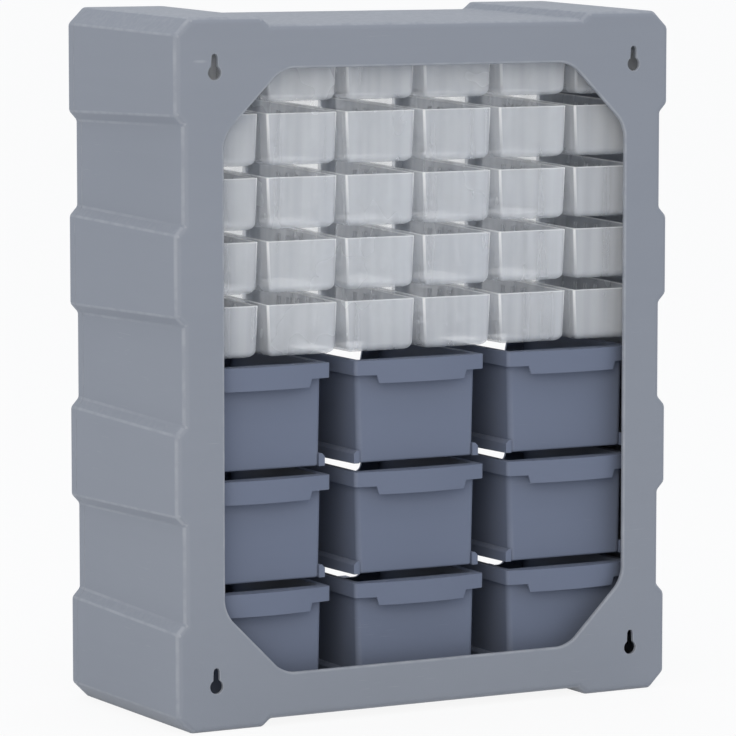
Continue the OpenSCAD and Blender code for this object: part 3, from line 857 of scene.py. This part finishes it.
def finger_pull(bm, half_w, front, root, flat, bent, tip, thick):
    """A tab that stands out of the panel at root, with a lip at its front.
    flat is the height of the tab's plain side, bent that of the side where the lip turns off,
    and tip that of the lip's edge."""
    behind = front + thick
    profile = [(root, flat), (front, flat), (front, tip), (behind, tip), (behind, bent), (root, bent)]
    face = flat_face(bm, [(-half_w, y, z) for y, z in profile])
    before = set(bm.edges) - set(face.edges)
    prism(bm, face, (2 * half_w, 0, 0))
    edges = [e for e in bm.edges
             if e not in before and not all(abs(v.co.y - root) < 0.01 * MM for v in e.verts)]
    soften(bm, edges, 0.5 * MM, 2)


def build_small_drawer(node, s, material):
    """A small clear drawer: a thin tray with divider slots, a front panel and a finger pull."""
    low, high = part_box(node)
    middle = Vector(((low.x + high.x) / 2, 0, low.z))
    front_y, rear = low.y, high.y
    panel_front = front_y + PULL_OUT
    panel_back = panel_front + s.panel_t
    floor = BODY_LIFT + s.run_gap
    top = floor + s.body_h
    bm = bmesh.new()
    embed = panel_back - SINK
    tray_skin(
        bm, (s.body_w / 2, s.lean, floor, top, embed, rear),
        [(s.floor_round, 5, FLOOR), (s.corner_round, 3, EITHER)], s.rear_lean, s.front_rise,
    )
    edge_faces = give_wall(bm, list(bm.faces), s.wall)
    round_rims(bm, edge_faces, s.rim_round)
    mark_painted_highlights(bm, s, floor, top, embed, rear)
    centre_y = (panel_back + rear) / 2
    for k in range(s.rib_slots):
        slot_y = centre_y + (k - (s.rib_slots - 1) / 2) * s.rib_pitch
        for y in (slot_y - s.slot_w / 2, slot_y + s.slot_w / 2):
            for side in (-1, 1):
                divider_rib(bm, s, side, y, floor, top)
    width, height = high.x - low.x, panel_height(node)
    thick = bm.verts.layers.float.new(PANEL)
    tray = set(bm.verts)
    face = flat_face(
        bm, [(-width / 2, panel_back, 0), (width / 2, panel_back, 0), (width / 2, panel_back, height),
             (-width / 2, panel_back, height)], [s.panel_round] * 4)
    front = prism(bm, face, (0, -s.panel_t, 0))
    soften(bm, list(front.edges), s.panel_edge, 2)
    finger_pull(bm, s.pull_w / 2, front_y, panel_front + SINK, s.pull_low, s.pull_low + s.pull_t,
                s.pull_low + s.pull_lip, s.pull_t)
    for v in bm.verts:
        v[thick] = 0.0 if v in tray else 1.0
    bmesh.ops.translate(bm, vec=middle, verts=bm.verts)
    return make_piece(bm, node + "_moulding", node, material, body=node)


def mark_painted_highlights(bm, s, floor, top, front, rear):
    """Marks the upright rear corners and the rim in an attribute, where the milky plastic gets a painted
    highlight and a painted faint glow.
    """
    whole = list(bm.verts) + list(bm.edges) + list(bm.faces)
    rise = s.front_rise / (rear - front)
    bmesh.ops.bisect_plane(
        bm, geom=whole, dist=0.001 * MM, plane_co=(0, rear, top - s.line_w), plane_no=(0, rise, 1))
    line = bm.verts.layers.float.new(PAINTED_HIGHLIGHT)
    near = 0.6 * s.corner_round
    for v in bm.verts:
        down = 1 - (v.co.z - floor) / s.body_h
        side = s.body_w / 2 - s.lean * down - abs(v.co.x)
        behind = rear - s.rear_lean * down - v.co.y
        if side < near and behind < near and v.co.z > floor + s.floor_round:
            v[line] = 1.0
        elif v.co.z > top + rise * (rear - v.co.y) - 0.5 * s.line_w:
            v[line] = 0.5


def panel_height(node):
    """Height of a drawer's front panel, which is the tallest part of it."""
    low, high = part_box(node)
    return high.z - low.z


def divider_rib(bm, s, side, y, floor, top):
    """A rib that holds a divider, from the floor to just under the rim, on the inside of a leaning side."""
    def wall_x(z):
        return s.body_w / 2 - s.wall - s.lean * (1 - (z - floor) / s.body_h)

    foot, head = floor + 0.6 * s.floor_round, top - 2.5 * MM
    before = set(bm.verts)
    block(bm, (-s.rib_out, y - s.rib_w / 2, foot), (SINK, y + s.rib_w / 2, head))
    verts = [v for v in bm.verts if v not in before]
    long_edges = [e for e in bm.edges if e.verts[0] in verts and e.calc_length() > s.floor_round]
    inner = [e for e in long_edges if all(v.co.x < 0 for v in e.verts)]
    soften(bm, inner, 0.4 * MM, 2)
    for v in [v for v in bm.verts if v not in before]:
        v.co.x = side * (v.co.x + wall_x(v.co.z))


def build_large_bin(node, s, material):
    """A large bin: a deep tray with a bowed rim and flap, runners, and a front with a finger notch."""
    low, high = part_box(node)
    middle = Vector(((low.x + high.x) / 2, 0, low.z))
    front_y = low.y
    panel_front = front_y + PULL_OUT
    panel_back = panel_front + s.panel_t
    rear = high.y - s.rear_inset
    rim_rear = rear + s.rim_rear
    base = BODY_LIFT + s.run_gap
    floor = base + s.runner_h
    top = floor + s.body_h
    embed = panel_back - 0.5 * MM
    bm = bmesh.new()
    tray_skin(
        bm, (s.body_w / 2, s.lean, floor, top - s.wall, embed, rear),
        [(s.corner_round, 5, UPRIGHT), (s.floor_round, 4, FLOOR)],
    )
    add_rim(bm, s, top, embed, rear, rim_rear)
    edge_faces = give_wall(bm, list(bm.faces), s.wall)
    round_rims(bm, hang_flap(bm, s, edge_faces, rim_rear), s.edge_round)
    for side in (-1, 1):
        add_runner(bm, s, side, base, embed, rear + s.runner_back)
    add_notched_panel(bm, s, high.x - low.x, panel_height(node), panel_back)
    notch_low = panel_height(node) - s.notch_d
    finger_pull(bm, s.pull_w / 2, front_y, panel_front + SINK, notch_low, notch_low - s.pull_t,
                notch_low - s.pull_lip, s.pull_t)
    bmesh.ops.translate(bm, vec=middle, verts=bm.verts)
    return make_piece(bm, node + "_moulding", node, material, body=node)


def add_rim(bm, s, top, front, rear, rim_rear):
    """Folds the tray's top edge outwards into a ledge and down into a skirt, which bows out at the rear."""
    rim = [e for e in bm.edges if e.is_boundary and all(v.co.z > top - 1.5 * s.wall for v in e.verts)]
    ledge = bmesh.ops.extrude_edge_only(bm, edges=rim)["geom"]
    half = s.rim_w / 2 - s.wall
    corner_y = rim_rear - s.wall
    tight = s.rim_round / s.corner_round
    for v in verts_in(ledge):
        side = math.copysign(1.0, v.co.x)
        v.co.x = side * (half - tight * (s.body_w / 2 - abs(v.co.x)))
        if v.co.y > front + MM:
            v.co.y = corner_y - tight * (rear - v.co.y)
    skirt = bmesh.ops.extrude_edge_only(bm, edges=edges_in(ledge))["geom"]
    bmesh.ops.translate(bm, vec=(0, 0, s.wall - s.rim_h), verts=verts_in(skirt))
    cuts = 6
    for k in range(-cuts, cuts + 1):
        x = k / cuts * s.flap_w / 2
        folds = [f for f in bm.faces if f.calc_center_median().y > rear
                 and f.calc_center_median().z > top - s.rim_h - s.wall]
        edges = edges_of(folds)
        bmesh.ops.bisect_plane(
            bm, geom=folds + edges + verts_of(edges), dist=0.001 * MM, plane_co=(x, 0, 0),
            plane_no=(1, 0, 0))
    bow([v for v in bm.verts if v.co.y > rear + 0.5 * (corner_y - rear)], half, s.rim_bow)
    face_way(bm, Vector((0, 0, -1)))


def hang_flap(bm, s, edge_faces, rim_rear):
    """Lets the middle of the rear skirt hang lower, with ends that lean in.
    Returns the faces of the wall's edge as they then are."""
    bmesh.ops.recalc_face_normals(bm, faces=bm.faces)
    bm.normal_update()
    half = s.flap_w / 2 + MM
    under = [f for f in bm.faces if f in edge_faces and f.calc_center_median().y > rim_rear
             and f.normal.z < -0.6 and all(abs(v.co.x) < half for v in f.verts)]
    before = set(bm.faces)
    for v in draw_out(bm, under, (0, 0, -s.flap_drop)):
        v.co.x *= 1 - s.flap_slant / half
    bm.normal_update()
    made = {f for f in bm.faces if f not in before}
    return (edge_faces - set(under)) | {f for f in made if f.normal.z < -0.6 or abs(f.normal.x) > 0.7}


def add_runner(bm, s, side, base, front, rear):
    """A runner along a lower edge of the bin.
    It bears on the shelf in front and rises to the floor at the rear."""
    wall_x = s.body_w / 2 - s.lean
    inner, outer = wall_x - 0.5 * s.wall, wall_x + s.runner_out
    height = s.runner_h + s.runner_rise
    profile = [
        (inner, 0), (outer, 0), (outer, height - s.runner_slope), (outer - s.runner_slope, height),
        (inner, height),
    ]
    before = set(bm.edges)
    face = flat_face(bm, [(side * x, front, base + z) for x, z in profile])
    end = prism(bm, face, (0, rear - front, 0))
    for v in end.verts:
        if v.co.z < base + 0.1 * MM:
            v.co.z += s.runner_h - 0.2 * MM
    made = [e for e in bm.edges if e not in before and max(v.co.y for v in e.verts) > rear - MM]
    soften(bm, made, s.edge_round, 2)


def add_notched_panel(bm, s, width, height, panel_back):
    """The front panel of a bin, with a finger notch in its upper edge."""
    half, notch = width / 2, s.notch_w / 2
    foot = height - s.notch_d
    points = [
        (-half, 0), (half, 0), (half, height), (notch + s.notch_lean / 2, height),
        (notch - s.notch_lean, foot), (s.notch_lean - notch, foot),
        (-notch - s.notch_lean / 2, height), (-half, height),
    ]
    corner, deep, brow = s.panel_round, s.notch_round * 0.6, 1.5 * MM
    face = flat_face(bm, [(x, panel_back, z) for x, z in points],
                     [corner, corner, corner, brow, deep, deep, brow, corner])
    front = prism(bm, face, (0, -s.panel_t, 0))
    soften(bm, list(front.edges), s.edge_round, 2)


# ---------------------------------------------------------------- stage


def aim(at, towards, up=Vector((0, 0, 1))):
    """A matrix that stands at a place and looks towards another."""
    back = (Vector(at) - Vector(towards)).normalized()
    right = up.cross(back).normalized()
    turned = Matrix((right, back.cross(right), back)).transposed().to_4x4()
    turned.translation = at
    return turned


def area_lamp(name, at, towards, size, power, tone):
    lamp = bpy.data.lights.new(name, "AREA")
    lamp.shape, lamp.size, lamp.size_y = "RECTANGLE", size[0], size[1]
    lamp.energy, lamp.color = power, tone
    holder = bpy.data.objects.new(name, lamp)
    holder.matrix_world = aim(Vector(at), Vector(towards))
    bpy.context.scene.collection.objects.link(holder)
    return holder


def build_world(s):
    """Soft light from all around; the camera, mirrors and clear plastic see a white backdrop instead."""
    world = bpy.data.worlds.new("Studio")
    world.use_nodes = True
    tree = world.node_tree
    tree.nodes.clear()
    light = add(tree, "Background", {"Color": opaque(s.sky), "Strength": s.sky_strength})
    backdrop = add(tree, "Background", {"Color": (1, 1, 1, 1), "Strength": 1.0})
    path = add(tree, "LightPath").outputs
    seen = maths(tree, "MAXIMUM", path["Is Camera Ray"], path["Is Glossy Ray"])
    seen = maths(tree, "MAXIMUM", seen, path["Is Transmission Ray"])
    mixed = add(tree, "MixShader", {0: seen, 1: light.outputs[0], 2: backdrop.outputs[0]})
    out = add(tree, "OutputWorld")
    tree.links.new(mixed.outputs[0], out.inputs[0])
    bpy.context.scene.world = world


def build_floor(s):
    """A plain pale floor, which the camera sees nearly as white as the backdrop."""
    bm = bmesh.new()
    bmesh.ops.create_grid(bm, x_segments=1, y_segments=1, size=20.0)
    mesh = bpy.data.meshes.new("floor")
    bm.to_mesh(mesh)
    bm.free()
    floor = bpy.data.objects.new("floor", mesh)
    bpy.context.scene.collection.objects.link(floor)
    material, tree, shader, _place = new_material("Pale floor")
    shader.inputs["Base Color"].default_value = opaque(s.floor_tone)
    shader.inputs["Roughness"].default_value = 0.9
    glow = add(tree, "Emission", {"Color": (1, 1, 1, 1), "Strength": 1.0})
    path = add(tree, "LightPath").outputs
    seen = maths(tree, "MAXIMUM", path["Is Camera Ray"], path["Is Glossy Ray"])
    seen = maths(tree, "MAXIMUM", seen, path["Is Transmission Ray"])
    white_share = 0.9
    seen = maths(tree, "MULTIPLY", seen, white_share)
    mixed = add(tree, "MixShader", {0: seen, 1: shader.outputs[0], 2: glow.outputs[0]})
    tree.links.new(mixed.outputs[0], tree.nodes["Material Output"].inputs["Surface"])
    mesh.materials.append(material)


def build_camera(s):
    lens = bpy.data.cameras.new("Camera")
    lens.sensor_width, lens.sensor_fit = 36.0, "HORIZONTAL"
    lens.lens, lens.shift_y = s.lens, s.shift
    lens.clip_end = 50.0
    camera = bpy.data.objects.new("Camera", lens)
    turn, tilt = s.camera_turn, s.camera_tilt
    forward = Vector((-math.sin(turn) * math.cos(tilt), -math.cos(turn) * math.cos(tilt), -math.sin(tilt)))
    place = Vector(s.camera_place)
    camera.matrix_world = aim(place, place + forward)
    bpy.context.scene.collection.objects.link(camera)
    bpy.context.scene.camera = camera


# ---------------------------------------------------------------- operators


class CABINET_OT_shell(bpy.types.Operator):
    """Build the rear shell and the front frame"""

    bl_idname = "cabinet.shell"
    bl_label = "Shell and frame"

    def execute(self, context):
        s = context.scene.cabinet_shell
        key_x = SHELL_HIGH.x - s.draft - s.key_side
        key_z = SHELL_HIGH.z - s.draft - s.key_top
        mark = ((key_x + 10.5 * MM, SHELL_HIGH.y, key_z + 7.5 * MM), (6 * MM, 4 * MM, 1.3 * MM))
        material = moulded_plastic(
            "Casing plastic", s, grain=1100.0, depth=0.06 * MM, wear_and_highlight_amount=0.5, dust=0.3, scuffs=0.15,
            marks=[mark],
        )
        build_shell(s, material)
        build_bezel(s, material)
        return {"FINISHED"}


class CABINET_OT_grid(bpy.types.Operator):
    """Build the rails, shelves, uprights and channels that guide the drawers"""

    bl_idname = "cabinet.grid"
    bl_label = "Guide grid"

    def execute(self, context):
        s = context.scene.cabinet_grid
        material = moulded_plastic(
            "Grid plastic", s, grain=1000.0, depth=0.05 * MM, wear_and_highlight_amount=0.6, dust=0.3, scuffs=0.2, gloss=0.25,
        )
        for node in GRID_NODES:
            build_grid(node, s, material)
        return {"FINISHED"}


class CABINET_OT_small_drawers(bpy.types.Operator):
    """Build the small clear drawers"""

    bl_idname = "cabinet.small_drawers"
    bl_label = "Small drawers"

    def execute(self, context):
        s = context.scene.cabinet_drawer
        material = milky_plastic("Milky plastic", s)
        for node in SMALL_DRAWERS:
            build_small_drawer(node, s, material)
        return {"FINISHED"}


class CABINET_OT_large_bins(bpy.types.Operator):
    """Build the large bins"""

    bl_idname = "cabinet.large_bins"
    bl_label = "Large bins"

    def execute(self, context):
        s = context.scene.cabinet_bin
        material = moulded_plastic(
            "Bin plastic", s, grain=1300.0, depth=0.04 * MM, wear_and_highlight_amount=0.12, dust=0.2, scuffs=0.12, gloss=0.08,
        )
        for node in LARGE_BINS:
            build_large_bin(node, s, material)
        return {"FINISHED"}


class CABINET_OT_stage(bpy.types.Operator):
    """Build the floor, the lamps, the soft sky and the camera"""

    bl_idname = "cabinet.stage"
    bl_label = "Stage"

    def execute(self, context):
        s = context.scene.cabinet_stage
        context.scene.view_settings.view_transform = "Standard"
        build_world(s)
        build_floor(s)
        centre = (SHELL_LOW + SHELL_HIGH) / 2
        area_lamp("Key lamp", (1.9, 2.6, 1.5), centre, (2.2, 1.8), s.key_power, s.key)
        area_lamp("Top lamp", (0.1, 0.2, 2.2), centre, (2.0, 2.0), s.top_power, (1, 1, 1))
        build_camera(s)
        return {"FINISHED"}


class CABINET_PT_panel(bpy.types.Panel):
    bl_idname = "CABINET_PT_panel"
    bl_label = "Parts bin cabinet"
    bl_space_type = "VIEW_3D"
    bl_region_type = "UI"
    bl_category = "Cabinet"

    def draw(self, context):
        for operator, settings in zip(OPERATORS, GROUPS):
            box = self.layout.box()
            box.operator(operator.bl_idname)
            group = getattr(context.scene, settings)
            for name in group.__annotations__:
                box.prop(group, name)


OPERATORS = (
    CABINET_OT_shell, CABINET_OT_grid, CABINET_OT_small_drawers, CABINET_OT_large_bins, CABINET_OT_stage
)
CLASSES = (*GROUPS.values(), *OPERATORS, CABINET_PT_panel)


def register():
    for cls in CLASSES:
        bpy.utils.register_class(cls)
    for name, group in GROUPS.items():
        setattr(bpy.types.Scene, name, PointerProperty(type=group))


def unregister():
    for name in GROUPS:
        delattr(bpy.types.Scene, name)
    for cls in reversed(CLASSES):
        bpy.utils.unregister_class(cls)


def main():
    register()
    bpy.ops.cabinet.shell()
    bpy.ops.cabinet.grid()
    bpy.ops.cabinet.small_drawers()
    bpy.ops.cabinet.large_bins()
    bpy.ops.cabinet.stage()


if __name__ == "__main__":
    main()
